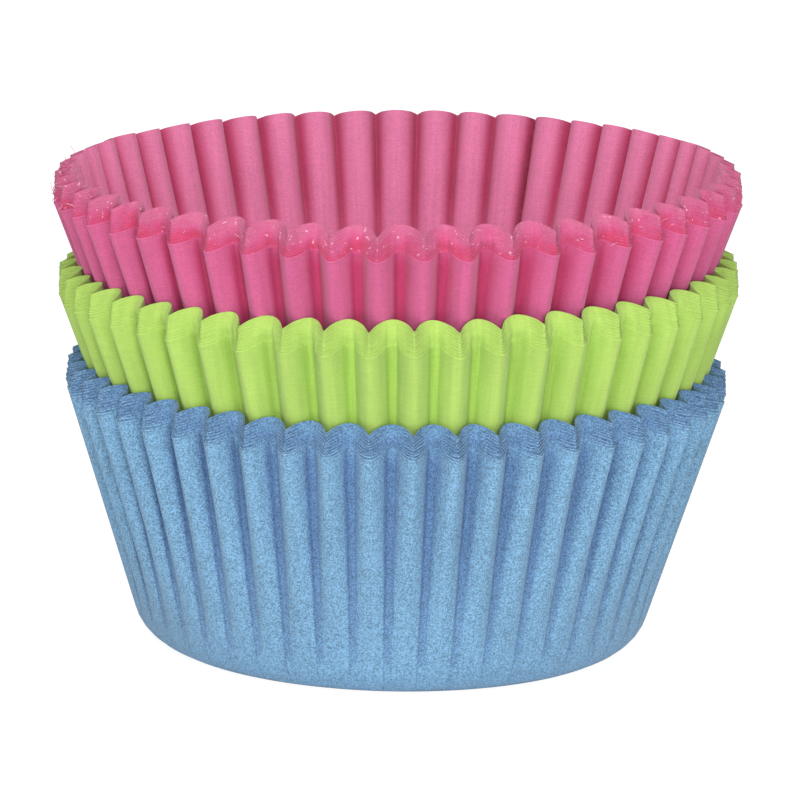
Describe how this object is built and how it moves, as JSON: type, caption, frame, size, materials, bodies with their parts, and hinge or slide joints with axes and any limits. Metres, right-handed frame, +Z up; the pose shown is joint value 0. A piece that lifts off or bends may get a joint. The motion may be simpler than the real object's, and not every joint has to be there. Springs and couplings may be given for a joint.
{
  "type": "stack of cupcake liners",
  "caption": "Fluted paper cupcake liners in nested piles, blue below, green between and pink on top, standing on their own base.",
  "frame": {"origin": "centre of the blue pile's underside, on the surface that the stack stands on", "axes": "+Z up along the blue pile's axis; the picture looks along +Y, with +X to its right"},
  "size_m": [0.0673, 0.0672, 0.0479],
  "materials": {
    "blue_paper": "matte",
    "green_paper": "matte",
    "pink_paper": "matte"
  },
  "bodies": {
    "root": {"blue_liners": "blue_paper", "green_liners": "green_paper", "pink_liners": "pink_paper"}
  },
  "joints": []
}
